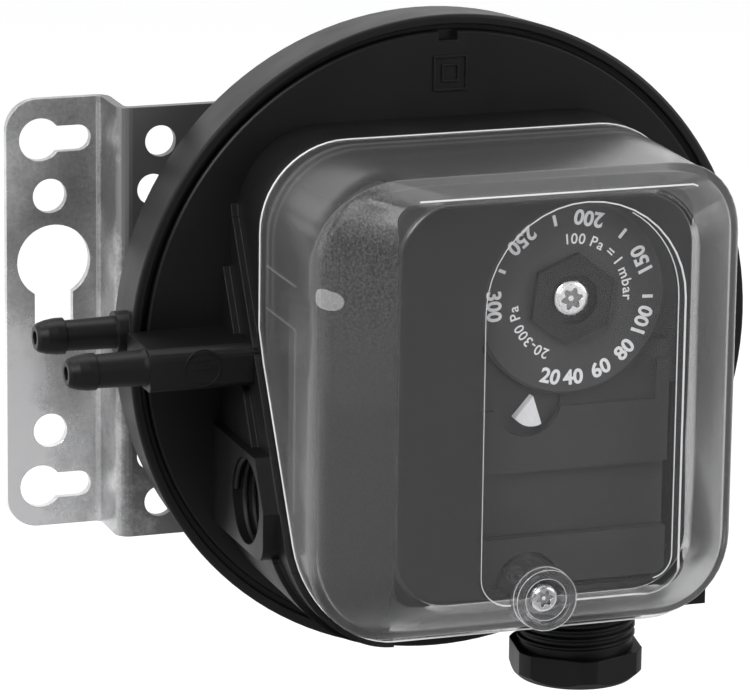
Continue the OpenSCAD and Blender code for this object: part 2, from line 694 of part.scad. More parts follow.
module terminal_block() color("#d8d8d0") on_wall() difference() {
    front_prism(-30, 0) translate([terminal_first - 6, -28]) square([2 * terminal_pitch + 12, 14]);
    for (i = [0:2]) translate([terminal_first + i * terminal_pitch, 0, 0]) {
        translate([0, 0, -21]) rod_y(-31, -20, 3.1);
        translate([-3.2, -26.4, -29]) cube([6.4, 6.4, 11.2]);
    }
}

module terminal_screws() color("silver") on_wall() for (i = [0:2])
    translate([terminal_first + i * terminal_pitch, 0, -21]) difference() {
        union() {
            rod_y(-29.6, -27.2, 2.8);
            rod_y(-27.2, -21, 1.5);
        }
        translate([-3, -30, -0.4]) cube([6, 1.2, 0.8]);
    }

module terminal_clamps() color("goldenrod") on_wall() for (i = [0:2])
    translate([terminal_first + i * terminal_pitch, 0, 0]) difference() {
        translate([-2.8, -25.6, -25]) cube([5.6, 5.2, 6.8]);
        translate([-1.9, -24.6, -26]) cube([3.8, 2.6, 9]);
        translate([0, 0, -21]) rod_y(-26, -20, 1.5);
    }

/* Cable gland */

gland_top = -box_bottom + box_wall + 1.5;
nut_top = -51.2;
nut_foot = -56.6;
seal_r = 6.6;

module at_gland() on_wall() translate([gland_x, gland_y, 0]) children();

module gland_body() color("#161618") at_gland() difference() {
    rod_z(nut_foot + 2, gland_top, gland_d / 2);
    rod_z(nut_foot, gland_top + 1, cable_d / 2 + 0.6);
    rod_z(nut_foot, nut_top - 0.6, seal_r);
}

module gland_seal() color("#0c0c0c") at_gland() difference() {
    rod_z(nut_foot + 1.6, nut_top - 0.6, seal_r);
    rod_z(nut_foot, 0, cable_d / 2);
}

module gland_nut() color("#1a1a1c") at_gland() difference() {
    intersection() {
        translate([0, 0, nut_foot]) rotate(20.6) cylinder(h = nut_top - nut_foot, r = gland_nut_af / sqrt(3), $fn = 6);
        union() {
            rod_z(nut_foot, nut_foot + 1.4, gland_nut_af / 2 - 0.6, gland_nut_af / 2 + 0.9);
            rod_z(nut_foot + 1.4, nut_top, gland_nut_af / 2 + 0.9);
        }
    }
    rod_z(nut_foot + 1.6, nut_top + 1, gland_d / 2 + running);
    rod_z(nut_foot - 1, nut_foot + 3, cable_d / 2 + 0.5);
}

mounting_bracket();
bracket_screws();
rear_housing();
housing_screws();
diaphragm();
diaphragm_plate();
front_housing();
box_top_wall();
box_left_wall();
box_right_wall();
box_foot_wall();
minus_port();
cover_gasket();
clear_cover();
cover_screw();
window_frame();
dial();
dial_hub();
dial_screw();
pointer();
terminal_cover();
terminal_block();
terminal_screws();
terminal_clamps();
switch_carrier();
setting_spindle();
spring_seat();
measuring_spring();
lever();
lever_pin();
microswitch();
switch_button();
gland_body();
gland_seal();
gland_nut();
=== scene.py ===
"""Visual model of the differential pressure switch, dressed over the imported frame."""
import math

import bmesh
import bpy
from mathutils import Matrix, Vector


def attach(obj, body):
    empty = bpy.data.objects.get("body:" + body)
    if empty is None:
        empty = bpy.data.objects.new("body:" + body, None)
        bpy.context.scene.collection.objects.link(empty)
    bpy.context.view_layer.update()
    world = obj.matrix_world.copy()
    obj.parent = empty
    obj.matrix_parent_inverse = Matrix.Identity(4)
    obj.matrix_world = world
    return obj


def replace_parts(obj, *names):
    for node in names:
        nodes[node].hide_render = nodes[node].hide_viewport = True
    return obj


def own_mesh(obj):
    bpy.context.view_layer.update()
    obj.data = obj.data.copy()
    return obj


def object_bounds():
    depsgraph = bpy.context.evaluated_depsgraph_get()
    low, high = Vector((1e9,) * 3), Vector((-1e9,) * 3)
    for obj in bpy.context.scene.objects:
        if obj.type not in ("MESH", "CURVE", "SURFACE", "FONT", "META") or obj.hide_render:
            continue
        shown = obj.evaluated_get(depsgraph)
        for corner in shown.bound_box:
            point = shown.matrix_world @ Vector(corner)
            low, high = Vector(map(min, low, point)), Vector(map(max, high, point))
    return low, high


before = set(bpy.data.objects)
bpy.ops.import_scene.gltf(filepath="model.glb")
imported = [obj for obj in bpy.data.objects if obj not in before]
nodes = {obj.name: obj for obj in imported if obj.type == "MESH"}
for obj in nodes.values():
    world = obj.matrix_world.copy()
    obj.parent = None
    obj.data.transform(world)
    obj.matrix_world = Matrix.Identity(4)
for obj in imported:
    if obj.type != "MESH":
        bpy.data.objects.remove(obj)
cad_low, cad_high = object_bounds()

# The round housing's axis, at its rim's front edge, in the row frame. Sizes below are in millimetres from there.
SHIFT = Vector((61.2, -34.7, 0.0))
BOX_HALF = 37.7
BOX_TOP = 38.8
BOX_BOTTOM = 40.7
BOX_CORNER = 15.0
SHOULDER = 41.0
FRONT = 51.0
PANEL_HALF = 26.0
PANEL_TOP = 36.6
PANEL_BOTTOM = 33.5
UPPER_RIM = 12.0
RIM_SLOPE = 0.6
SLOPE_ZERO = 26.0
GASKET = 0.8
COVER_WALL = 2.0
DIAL = Vector((6.3, 0.0, 16.9))
DIAL_FACE = -43.5
SCREW_Z = -32.4


def at(x, y, z):
    """A point given in millimetres from the housing's axis, in the row frame in metres."""
    return (Vector((x, y, z)) + SHIFT) / 1000.0


# Camera


def make_camera():
    data = bpy.data.cameras.new("camera")
    data.sensor_width = 36.0
    data.sensor_fit = "HORIZONTAL"
    data.lens = 253.96
    data.clip_start = 0.05
    data.clip_end = 20.0
    cam = bpy.data.objects.new("camera", data)
    bpy.context.collection.objects.link(cam)
    forward = Vector((0.3208, 0.9120, -0.2556)).normalized()
    right = Vector((0.94334, -0.33183, 0.0))
    up = right.cross(forward)
    roll = math.radians(0.77)
    right2 = math.cos(roll) * right + math.sin(roll) * up
    up2 = -math.sin(roll) * right + math.cos(roll) * up
    turn = Matrix((right2, up2, -forward)).transposed().to_4x4()
    cam.matrix_world = Matrix.Translation(at(-305.146, -832.043, 231.525)) @ turn
    bpy.context.scene.camera = cam


make_camera()


# Node helpers for materials


class Shader:
    """Builds one material's node tree with short calls."""

    def __init__(self, name):
        self.mat = bpy.data.materials.new(name)
        self.mat.use_nodes = True
        self.tree = self.mat.node_tree
        self.tree.nodes.clear()
        self.out = self.tree.nodes.new("ShaderNodeOutputMaterial")
        self.bsdf = self.tree.nodes.new("ShaderNodeBsdfPrincipled")
        self.link(self.bsdf.outputs[0], self.out.inputs[0])
        self.coord = self.tree.nodes.new("ShaderNodeTexCoord").outputs["Object"]

    def link(self, a, b):
        self.tree.links.new(a, b)

    def node(self, kind, **values):
        made = self.tree.nodes.new(kind)
        for key, value in values.items():
            setattr(made, key, value)
        return made

    def put(self, socket, value):
        """Sets a socket of the main shader: a link for another socket, a value otherwise."""
        if isinstance(value, bpy.types.NodeSocket):
            self.link(value, self.bsdf.inputs[socket])
        else:
            self.bsdf.inputs[socket].default_value = value

    def noise(self, scale, detail=4.0, rough=0.55, stretch=None):
        made = self.node("ShaderNodeTexNoise")
        made.inputs["Scale"].default_value = scale
        made.inputs["Detail"].default_value = detail
        made.inputs["Roughness"].default_value = rough
        if stretch:
            mapping = self.node("ShaderNodeMapping")
            mapping.inputs["Scale"].default_value = stretch
            self.link(self.coord, mapping.inputs["Vector"])
            self.link(mapping.outputs[0], made.inputs["Vector"])
        else:
            self.link(self.coord, made.inputs["Vector"])
        return made.outputs["Fac"]

    def cells(self, scale, feature="F1"):
        made = self.node("ShaderNodeTexVoronoi", feature=feature)
        made.inputs["Scale"].default_value = scale
        self.link(self.coord, made.inputs["Vector"])
        return made

    def ramp(self, source, low, high, from_low=0.3, from_high=0.7):
        """Maps a number's range to another range."""
        made = self.node("ShaderNodeMapRange")
        made.inputs["From Min"].default_value = from_low
        made.inputs["From Max"].default_value = from_high
        made.inputs["To Min"].default_value = low
        made.inputs["To Max"].default_value = high
        self.link(source, made.inputs["Value"])
        return made.outputs[0]

    def tint(self, source, low, high, from_low=0.3, from_high=0.7):
        """Mixes two colours by a number."""
        made = self.node("ShaderNodeMix", data_type="RGBA")
        self.link(self.ramp(source, 0.0, 1.0, from_low, from_high), made.inputs[0])
        made.inputs[6].default_value = (*low, 1.0)
        made.inputs[7].default_value = (*high, 1.0)
        return made.outputs[2]

    def blend(self, mask, a, b):
        """Mixes two numbers by a mask."""
        made = self.node("ShaderNodeMix", data_type="FLOAT")
        self.link(mask, made.inputs[0])
        for index, value in ((2, a), (3, b)):
            if isinstance(value, bpy.types.NodeSocket):
                self.link(value, made.inputs[index])
            else:
                made.inputs[index].default_value = value
        return made.outputs[0]

    def math(self, operation, a, b=None):
        made = self.node("ShaderNodeMath", operation=operation)
        for index, value in enumerate((a, b)):
            if isinstance(value, bpy.types.NodeSocket):
                self.link(value, made.inputs[index])
            elif value is not None:
                made.inputs[index].default_value = value
        return made.outputs[0]

    def relief(self, heights, edge=0.0002):
        """Adds surface relief from (height, strength, distance) entries and softens sharp edges."""
        soft = self.node("ShaderNodeBevel", samples=4)
        soft.inputs["Radius"].default_value = edge
        normal = soft.outputs[0]
        for height, strength, distance in heights:
            bump = self.node("ShaderNodeBump")
            bump.inputs["Strength"].default_value = strength
            bump.inputs["Distance"].default_value = distance
            self.link(height, bump.inputs["Height"])
            self.link(normal, bump.inputs["Normal"])
            normal = bump.outputs[0]
        self.link(normal, self.bsdf.inputs["Normal"])


def grey(value):
    return (value, value, value * 1.01)


def moulded(name, dark, light, rough_low, rough_high, specular=0.4, grain=0.25, edge=0.0003):
    """Moulded plastic: slow colour variation, a fine spark-eroded grain and faint flow marks."""
    s = Shader(name)
    slow = s.noise(35.0, 3.0)
    fine = s.noise(2600.0, 3.0, 0.7)
    flow = s.noise(90.0, 4.0, 0.6, (1.0, 1.0, 0.25))
    s.put("Base Color", s.tint(slow, grey(dark), grey(light)))
    s.put("Roughness", s.ramp(flow, rough_low, rough_high))
    s.put("Specular IOR Level", specular)
    s.relief([(fine, grain, 0.00002), (slow, 0.15, 0.0002)], edge)
    return s.mat


def plated(name, low, high, rough_low, rough_high, edge=0.0002):
    """Zinc-plated sheet: fine bright specks over soft clouds, dull streaks and faint scratches, with painted light and
    shade by position.
    """
    s = Shader(name)
    cloud = s.noise(75.0, 6.0, 0.6)
    fleck = s.noise(1300.0, 4.0, 0.75)
    streak = s.noise(60.0, 5.0, 0.65, (1.0, 1.0, 0.3))
    scratch = s.noise(500.0, 2.0, 0.5, (0.15, 1.0, 6.0))
    place = s.node("ShaderNodeSeparateXYZ")
    s.link(s.coord, place.inputs[0])
    tone = s.math("ADD", s.math("MULTIPLY", cloud, 0.75), s.math("MULTIPLY", fleck, 0.30))
    tone = s.math("ADD", tone, s.math("MULTIPLY", streak, 0.25))
    # painted light and shade: lighter towards the foot, darker towards the top, lighter on the left of the flange than
    # on its right
    tone = s.math("ADD", tone, s.ramp(place.outputs[2], 0.16, -0.10, -0.030, 0.030))
    tone = s.math("ADD", tone, s.ramp(place.outputs[0], 0.10, -0.06, -0.0078, 0.008))
    # painted shadow: much darker on the plate behind the round housing, darker still further in under it
    tone = s.math("ADD", tone, s.ramp(place.outputs[0], 0.0, -0.30, 0.0084, 0.0105))
    tone = s.math("ADD", tone, s.ramp(place.outputs[0], 0.0, -0.08, 0.015, 0.020))
    s.put("Base Color", s.tint(tone, grey(low), grey(high), 0.40, 0.85))
    s.put("Metallic", 0.82)
    s.put("Roughness", s.ramp(tone, rough_high, rough_low, 0.4, 0.85))
    s.relief([(fleck, 0.12, 0.00003), (scratch, 0.06, 0.00005)], edge)
    return s.mat


def turned_metal(name, colour, rough_low, rough_high):
    """Bright screw metal with faint tool marks."""
    s = Shader(name)
    marks = s.noise(900.0, 3.0, 0.6)
    cloud = s.noise(300.0, 3.0)
    low = tuple(c * 0.8 for c in colour)
    s.put("Base Color", s.tint(cloud, low, colour))
    s.put("Metallic", 1.0)
    s.put("Roughness", s.ramp(marks, rough_low, rough_high))
    s.relief([(marks, 0.15, 0.00004)], 0.00015)
    return s.mat


def printed(name, value):
    """White print and white plastic: slightly uneven and matt."""
    s = Shader(name)
    wear = s.noise(1500.0, 4.0, 0.7)
    s.put("Base Color", s.tint(wear, grey(value * 0.88), grey(value)))
    s.put("Roughness", s.ramp(wear, 0.45, 0.6))
    s.relief([(wear, 0.1, 0.00003)], 0.00005)
    return s.mat


def finish_clear(s):
    """Lets light through to what lies inside: the clear plastic casts a thin shadow only."""
    through = s.node("ShaderNodeBsdfTransparent")
    through.inputs[0].default_value = (0.95, 0.95, 0.955, 1.0)
    path = s.node("ShaderNodeLightPath")
    mix = s.node("ShaderNodeMixShader")
    s.link(s.math("MAXIMUM", path.outputs["Is Shadow Ray"], path.outputs["Is Diffuse Ray"]), mix.inputs[0])
    s.link(s.bsdf.outputs[0], mix.inputs[1])
    s.link(through.outputs[0], mix.inputs[2])
    s.link(mix.outputs[0], s.out.inputs[0])
    return s.mat


def clear_material(name, tone, haze):
    """Clear moulded plastic of the small pieces on the cover."""
    s = Shader(name)
    slow = s.noise(45.0, 3.0)
    s.put("IOR", CLEAR_IOR)
    s.put("Base Color", (*grey(tone), 1.0))
    s.put("Transmission Weight", 1.0 - haze)
    s.put("Roughness", s.ramp(slow, 0.03, 0.09))
    s.put("Coat Weight", 0.7)
    s.put("Coat IOR", 1.5)
    s.relief([(slow, 0.05, 0.0003)], 0.0001)
    return finish_clear(s)


def cover_material(name):
    """Clear cover: a polished panel, sides with a soft haze and a finely textured slope on the left, with painted
    light: upper and left faces hazier and so paler, and a painted highlight line near the rim.
    """
    s = Shader(name)
    fine = s.noise(2400.0, 3.0, 0.8)
    slow = s.noise(45.0, 3.0)
    place = s.node("ShaderNodeSeparateXYZ")
    s.link(s.coord, place.inputs[0])
    turn = s.node("ShaderNodeSeparateXYZ")
    s.link(s.coord.node.outputs["Normal"], turn.inputs[0])
    side = s.ramp(s.math("ABSOLUTE", turn.outputs[1]), 1.0, 0.0, 0.84, 0.97)
    upper = s.ramp(turn.outputs[2], 0.0, 1.0, 0.3, 0.7)
    # distance in front of the cover's rim, in millimetres
    depth = s.math("MULTIPLY_ADD", place.outputs[1], -1000.0)
    depth.node.inputs[2].default_value = -34.7 - GASKET
    rim = s.math("MULTIPLY_ADD", place.outputs[2], -1000.0 * RIM_SLOPE)
    rim.node.inputs[2].default_value = SLOPE_ZERO * RIM_SLOPE
    ahead = s.math("SUBTRACT", depth, s.math("MAXIMUM", rim, UPPER_RIM))
    # painted highlight: a narrow hazier line on the upper part of the cover, about 4.3 mm in front of its rim
    highlight_line = s.math("SUBTRACT", 1.0, s.math("ABSOLUTE", s.math("MULTIPLY", s.math("SUBTRACT", ahead, 4.3), 0.9)))
    highlight_line = s.math("MULTIPLY", s.math("MAXIMUM", highlight_line, 0.0), s.ramp(place.outputs[2], 0.0, 1.0, 0.0, 0.014))
    # painted light: the front part of the skirt on the left, and the whole left side, are made hazier and so paler
    # where light falls on them, and upper faces a little more than lower ones
    left = s.ramp(place.outputs[0], 1.0, 0.0, at(-36.5, 0, 0).x, at(-34.0, 0, 0).x)
    milky = s.math("MULTIPLY", left, s.ramp(place.outputs[1], 1.0, 0.0, at(0, -28.9, 0).y, at(0, -28.5, 0).y))
    milky = s.math("MULTIPLY", milky, s.ramp(place.outputs[2], 1.0, 0.0, 0.010, 0.020))
    haze = s.math("ADD", s.blend(upper, SIDE_HAZE, PAINTED_TOP_LIGHT_HAZE), s.math("MULTIPLY", milky, PAINTED_SKIRT_LIGHT_HAZE))
    haze = s.math("ADD", haze, s.math("MULTIPLY", left, PAINTED_LEFT_LIGHT_HAZE))
    haze = s.math("ADD", haze, s.math("MULTIPLY", highlight_line, PAINTED_HIGHLIGHT_LINE_HAZE))
    haze = s.blend(side, PANEL_HAZE, haze)
    # the textured slope
    edge_x = at(-PANEL_HALF - 0.2, 0, 0).x
    edge_y = at(0, -SHOULDER - 0.2, 0).y
    slope = s.math("MULTIPLY", s.ramp(place.outputs[0], 1.0, 0.0, edge_x - 0.0004, edge_x + 0.0002),
                   s.ramp(place.outputs[1], 1.0, 0.0, edge_y - 0.0003, edge_y + 0.0008))
    height = s.ramp(place.outputs[2], 0.0, 1.0, 0.008, 0.030)
    speck = s.math("MULTIPLY", s.ramp(fine, -1.0, 1.0, 0.35, 0.65), s.blend(height, 0.25, 1.0))
    speckle = s.math("MULTIPLY_ADD", speck, FROST_SPECK)
    speckle.node.inputs[2].default_value = FROST_HAZE
    haze = s.blend(slope, haze, s.math("MAXIMUM", speckle, 0.0))
    s.put("IOR", CLEAR_IOR)
    tone = s.blend(slope, s.blend(side, PANEL_TONE, SIDE_TONE), s.ramp(speck, 0.26, 0.66, -0.9, 0.9))
    s.put("Base Color", tone)
    s.put("Transmission Weight", s.math("SUBTRACT", 1.0, haze))
    s.put("Roughness", s.blend(slope, s.blend(side, s.ramp(slow, 0.01, 0.04), SIDE_ROUGH), 0.3))
    s.put("Coat Weight", 0.45)
    s.put("Coat IOR", 1.5)
    s.put("Coat Roughness", 0.2)
    bump = s.math("MULTIPLY", s.math("MULTIPLY", fine, slope), s.blend(height, 0.3, 1.0))
    s.relief([(bump, 0.35, 0.0002), (slow, 0.03, 0.0004)], 0.0)
    return finish_clear(s)


CLEAR_IOR = 1.15
PANEL_TONE = 0.88
SIDE_TONE = 0.5
PANEL_HAZE = 0.001
SIDE_HAZE = 0.045
# painted light: hazier upper and left faces, and a hazier highlight line
PAINTED_TOP_LIGHT_HAZE = 0.05
PAINTED_LEFT_LIGHT_HAZE = 0.036
PAINTED_SKIRT_LIGHT_HAZE = 0.07
PAINTED_HIGHLIGHT_LINE_HAZE = 0.12
FROST_HAZE = 0.056
FROST_SPECK = 0.04
SIDE_ROUGH = 0.22

M = {
    "black": moulded("black_moulded", 0.0035, 0.006, 0.36, 0.48, 0.25, 0.3),
    "rim": moulded("rim_moulded", 0.005, 0.008, 0.36, 0.46, 0.24, 0.2),
    "panel": moulded("grey_panel", 0.009, 0.012, 0.5, 0.6, 0.15, 0.0, 0.0),
    "plates": moulded("dark_plates", 0.026, 0.031, 0.5, 0.6, 0.15, 0.0, 0.0),
    "dial": moulded("dial_plastic", 0.045, 0.051, 0.5, 0.62, 0.15, 0.0, 0.0),
    "hub": moulded("hub_plastic", 0.011, 0.015, 0.4, 0.5, 0.2, 0.0, 0.0),
    "pale": moulded("pale_plastic", 0.45, 0.55, 0.4, 0.55, 0.4, 0.2),
    "switch": moulded("switch_plastic", 0.03, 0.045, 0.4, 0.5, 0.4, 0.2),
    "rubber": moulded("soft_rubber", 0.010, 0.018, 0.65, 0.85, 0.3, 0.5),
    "zinc": plated("zinc_sheet", 0.20, 0.90, 0.24, 0.4),
    # pale paint for the highlight on the bracket's bend
    "bend_highlight": moulded("bend_highlight_paint", 0.5, 0.62, 0.3, 0.4, 0.5, 0.0),
    "screw": turned_metal("bright_screw", (0.74, 0.74, 0.75), 0.16, 0.34),
    # dark metal as painted shade inside screw recesses
    "recess": turned_metal("screw_recess", (0.22, 0.22, 0.22), 0.2, 0.4),
    "spring": turned_metal("spring_wire", (0.6, 0.6, 0.62), 0.2, 0.34),
    "alloy": turned_metal("light_alloy", (0.75, 0.75, 0.77), 0.3, 0.45),
    "brass": turned_metal("yellow_brass", (0.72, 0.54, 0.24), 0.25, 0.4),
    "white": printed("white_plastic", 0.82),
    "print": printed("white_print", 0.86),
    "clear": cover_material("clear_cover"),
    "clear_part": clear_material("clear_parts", 0.85, 0.02),
    "milky": clear_material("milky_parts", 0.9, 0.13),
    "ring": clear_material("tower_ring_highlights", 0.95, 0.3),
    # pale hazy plastic for painted highlights along edges
    "edge": clear_material("painted_highlight_edges", 0.95, 0.6),
}


def dress(node, key):
    obj = nodes[node]
    obj.data.materials.clear()
    obj.data.materials.append(M[key])


for node_name, key in {
    "mounting_bracket": "zinc", "bracket_screws": "screw", "rear_housing": "rim", "housing_screws": "screw",
    "diaphragm": "rubber", "diaphragm_plate": "alloy", "front_housing": "black", "box_top_wall": "black",
    "box_left_wall": "black", "box_right_wall": "black", "box_foot_wall": "black", "minus_port": "black",
    "cover_gasket": "rubber",
    "clear_cover": "clear", "cover_screw": "screw", "window_frame": "panel", "dial": "dial", "dial_hub": "hub",
    "dial_screw": "screw", "pointer": "white", "terminal_cover": "plates", "terminal_block": "pale",
    "terminal_screws": "screw", "terminal_clamps": "brass", "switch_carrier": "plates",
    "setting_spindle": "screw", "spring_seat": "brass", "measuring_spring": "spring", "lever": "zinc",
    "lever_pin": "screw", "microswitch": "switch", "switch_button": "white", "gland_body": "black",
    "gland_seal": "rubber", "gland_nut": "black",
}.items():
    dress(node_name, key)


# Mesh helpers


def finish_piece(name, mesh, body, key, smooth=None):
    """Makes an object of a bmesh given in row metres, and lets it ride on a body."""
    bmesh.ops.recalc_face_normals(mesh, faces=mesh.faces)
    data = bpy.data.meshes.new(name)
    mesh.to_mesh(data)
    mesh.free()
    obj = bpy.data.objects.new(name, data)
    bpy.context.collection.objects.link(obj)
    data.materials.append(M[key])
    if smooth is not None:
        for poly in data.polygons:
            poly.use_smooth = True
        data.set_sharp_from_angle(angle=math.radians(smooth))
    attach(obj, body)
    return obj


def add_prism(mesh, outline, low, high, place):
    """Adds a prism: outline holds (u, v) points, place maps (u, v, w) to the row frame."""
    bottom = [mesh.verts.new(place(u, v, low)) for u, v in outline]
    top = [mesh.verts.new(place(u, v, high)) for u, v in outline]
    count = len(outline)
    mesh.faces.new(bottom[::-1])
    mesh.faces.new(top)
    for i in range(count):
        j = (i + 1) % count
        mesh.faces.new((bottom[i], bottom[j], top[j], top[i]))


def add_band(mesh, inner, outer, low, high, place, closed=True):
    """Adds a band between two outlines with the same number of points."""
    rings = []
    for outline, w in ((inner, low), (outer, low), (outer, high), (inner, high)):
        rings.append([mesh.verts.new(place(u, v, w)) for u, v in outline])
    count = len(inner)
    last = count if closed else count - 1
    for i in range(last):
        j = (i + 1) % count
        for k in range(4):
            a = rings[k]
            b = rings[(k + 1) % 4]
            mesh.faces.new((a[i], a[j], b[j], b[i]))
    if not closed:
        for i in (0, count - 1):
            mesh.faces.new([ring[i] for ring in rings])


def front(u, v, w):
    """Maps an outline seen from the front (x, z) at depth w."""
    return at(u, w, v)


def arc(cx, cz, r, start, stop, steps):
    points = []
    for i in range(steps + 1):
        a = math.radians(start + (stop - start) * i / steps)
        points.append((cx + r * math.cos(a), cz + r * math.sin(a)))
    return points


def box_loop(half_x, low_z, high_z, r, steps=10, middle=4):
    """Points round a rectangle with round corners, the same count for every size."""
    points = []
    corners = ((half_x - r, high_z - r, 0), (-half_x + r, high_z - r, 90),
               (-half_x + r, low_z + r, 180), (half_x - r, low_z + r, 270))
    for index, (cx, cz, start) in enumerate(corners):
        points += arc(cx, cz, r, start, start + 90, steps)
        a = points[-1]
        nx, nz, nstart = corners[(index + 1) % 4]
        b = arc(nx, nz, r, nstart, nstart, 1)[0]
        for k in range(1, middle + 1):
            t = k / (middle + 1)
            points.append((a[0] + (b[0] - a[0]) * t, a[1] + (b[1] - a[1]) * t))
    return points


def profile(inset, shoulder, round_big, round_small, wall=0.0):
    """(inset, height) points over the shoulder and the slope up to the panel's edge, moved inward by wall."""
    run = Vector((inset, FRONT - shoulder))
    normal = Vector((run.y, -run.x)) / run.length
    offset = normal.y * shoulder + wall
    b = Vector((wall, (offset - normal.x * wall) / normal.y))
    c = Vector(((offset - normal.y * (FRONT - wall)) / normal.x, FRONT - wall))
    a = b - Vector((0.0, 12.0))
    d = c + Vector((6.0, 0.0))
    points = []
    for before, corner, after, radius, steps in ((a, b, c, round_big, 7), (b, c, d, round_small, 6)):
        u = (before - corner).normalized()
        v = (after - corner).normalized()
        half = u.angle(v) / 2.0
        middle = corner + (u + v).normalized() * (radius / math.sin(half))
        first = corner + u * (radius / math.tan(half)) - middle
        turn = math.pi - 2.0 * half
        sign = -1.0 if u.x * v.y - u.y * v.x > 0 else 1.0
        for i in range(steps + 1):
            t = sign * turn * i / steps
            x = first.x * math.cos(t) - first.y * math.sin(t)
            y = first.x * math.sin(t) + first.y * math.cos(t)
            points.append(middle + Vector((x, y)))
    return points


def rim_height(z):
    return max(UPPER_RIM, (SLOPE_ZERO - z) * RIM_SLOPE) + GASKET


def cover_rows(wall):
    """Rows of (x, z, height) points for one skin of the cover, from its rim to the middle of the panel."""
    side = profile(BOX_HALF - PANEL_HALF, SHOULDER, 5.0 - wall, 2.5 - 0.5 * wall, wall)
    top = profile(BOX_TOP - PANEL_TOP, FRONT - 7.0, 3.0 - wall / 2, 1.5 - 0.25 * wall, wall)
    foot = profile(BOX_BOTTOM - PANEL_BOTTOM, SHOULDER, 5.0 - wall, 2.5 - 0.5 * wall, wall)
    steps, middle = 10, 4
    per_side = steps + 1 + middle
    corner = BOX_CORNER - wall

    def loop(row):
        s, t, f = side[row], top[row], foot[row]
        r = corner - 6.0 * row / (len(side) - 1)
        outline = box_loop(BOX_HALF - s.x, -BOX_BOTTOM + f.x, BOX_TOP - t.x, r, steps, middle)
        points = []
        for i, (x, z) in enumerate(outline):
            part, k = divmod(i, per_side)
            share = min(k / steps, 1.0)
            share = share * share * (3 - 2 * share)
            upright = share if part in (0, 2) else 1.0 - share
            other = f.y if z < 0 else t.y
            points.append((x, z, s.y * (1 - upright) + other * upright))
        return points

    rows = []
    first = loop(0)
    for k in range(4):
        row = []
        for x, z, h in first:
            low = rim_height(z)
            row.append((x, z, low + (max(h, low) - low) * k / 4.0))
        rows.append(row)
    for index in range(len(side)):
        rows.append([(x, z, max(h, rim_height(z))) for x, z, h in loop(index)])
    centre = (PANEL_TOP - PANEL_BOTTOM) / 2.0
    edge = rows[-1]
    for k in (0.7, 0.35):
        rows.append([(x * k, centre + (z - centre) * k, FRONT - wall) for x, z, h in edge])
    return rows


def build_cover():
    """The cover as a lofted shell of two skins: straight skirt, sloped sides and a flat panel."""
    mesh = bmesh.new()
    rims = []
    for wall in (0.0, COVER_WALL):
        rings = [[mesh.verts.new(at(x, -h, z)) for x, z, h in row] for row in cover_rows(wall)]
        count = len(rings[0])
        for a, b in zip(rings, rings[1:]):
            for i in range(count):
                j = (i + 1) % count
                mesh.faces.new((a[i], a[j], b[j], b[i]))
        mesh.faces.new(rings[-1])
        rims.append(rings[0])
    for i in range(len(rims[0])):
        j = (i + 1) % len(rims[0])
        mesh.faces.new((rims[0][i], rims[0][j], rims[1][j], rims[1][i]))
    bmesh.ops.remove_doubles(mesh, verts=mesh.verts, dist=0.00002)
    obj = finish_piece("cover_shell", mesh, "cover", "clear", 50)
    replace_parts(obj, "clear_cover")
    return obj


build_cover()


def add_turned(mesh, points, place, steps=48):
    """Adds a closed solid of revolution: points are (radius, depth), place maps (x, z, depth)."""
    rings = []
    for i in range(steps):
        a = 2 * math.pi * i / steps
        rings.append([mesh.verts.new(place(r * math.cos(a), r * math.sin(a), w)) for r, w in points])
    count = len(points)
    for i in range(steps):
        a = rings[i]
        b = rings[(i + 1) % steps]
        for k in range(count):
            n = (k + 1) % count
            mesh.faces.new((a[k], a[n], b[n], b[k]))


def around(cx, cz):
    def place(u, v, w):
        return at(cx + u, w, cz + v)
    return place


# The clear tower round the cover screw, with painted highlights on its stepped rings
tower = bmesh.new()
add_turned(tower, [(3.5, -36.4), (5.3, -36.4), (5.3, -51.7), (5.0, -52.1), (4.3, -52.1), (4.1, -51.7),
                   (3.6, -51.5), (3.5, -50.2)], around(0.0, SCREW_Z))
finish_piece("screw_tower", tower, "cover", "clear_part", 35)
# painted highlights: thin pale rings for the bright edges of the tower's steps
rings = bmesh.new()
for inner, outer, depth in ((5.2, 5.3, -52.1), (5.3, 5.42, -50.4), (3.55, 3.65, -51.75)):
    add_turned(rings, [(inner, depth), (outer, depth), (outer, depth + 0.1), (inner, depth + 0.1)],
               around(0.0, SCREW_Z))
finish_piece("tower_ring_highlights", rings, "cover", "ring", 35)


# Raised outline of the arched window on the inside of the panel, in the pale edge material as a painted highlight,
# broader on the right and along the foot where the highlight falls
def window_path(half, centre_x, top, foot, r, width=0.0, steps=20):
    points = [(5.4, foot), (9.0, foot)] + arc(centre_x + half - r, foot + r, r, 270, 360, 8)
    points += arc(centre_x, top, half, 0, 180, steps)
    points += arc(centre_x - half + r, foot + r, r, 180, 270, 8) + [(-5.3, foot)]
    grown = []
    last = len(points) - 1
    for i, (x, z) in enumerate(points):
        ax, az = points[max(i - 1, 0)]
        bx, bz = points[min(i + 1, last)]
        out = Vector((bz - az, ax - bx)).normalized()
        share = max(0.0, min(1.0, 0.5 + 0.5 * out.x + 0.3 * max(-out.y, 0.0)))
        grown.append((x + out.x * width * (0.3 + 0.7 * share), z + out.y * width * (0.3 + 0.7 * share)))
    return grown if width else points


outline = bmesh.new()
add_band(outline, window_path(17.5, 6.9, 16.75, -33.4, 4.8), window_path(17.5, 6.9, 16.75, -33.4, 4.8, 0.3),
         -49.0, -48.8, front, False)
finish_piece("window_outline", outline, "cover", "edge", 35)

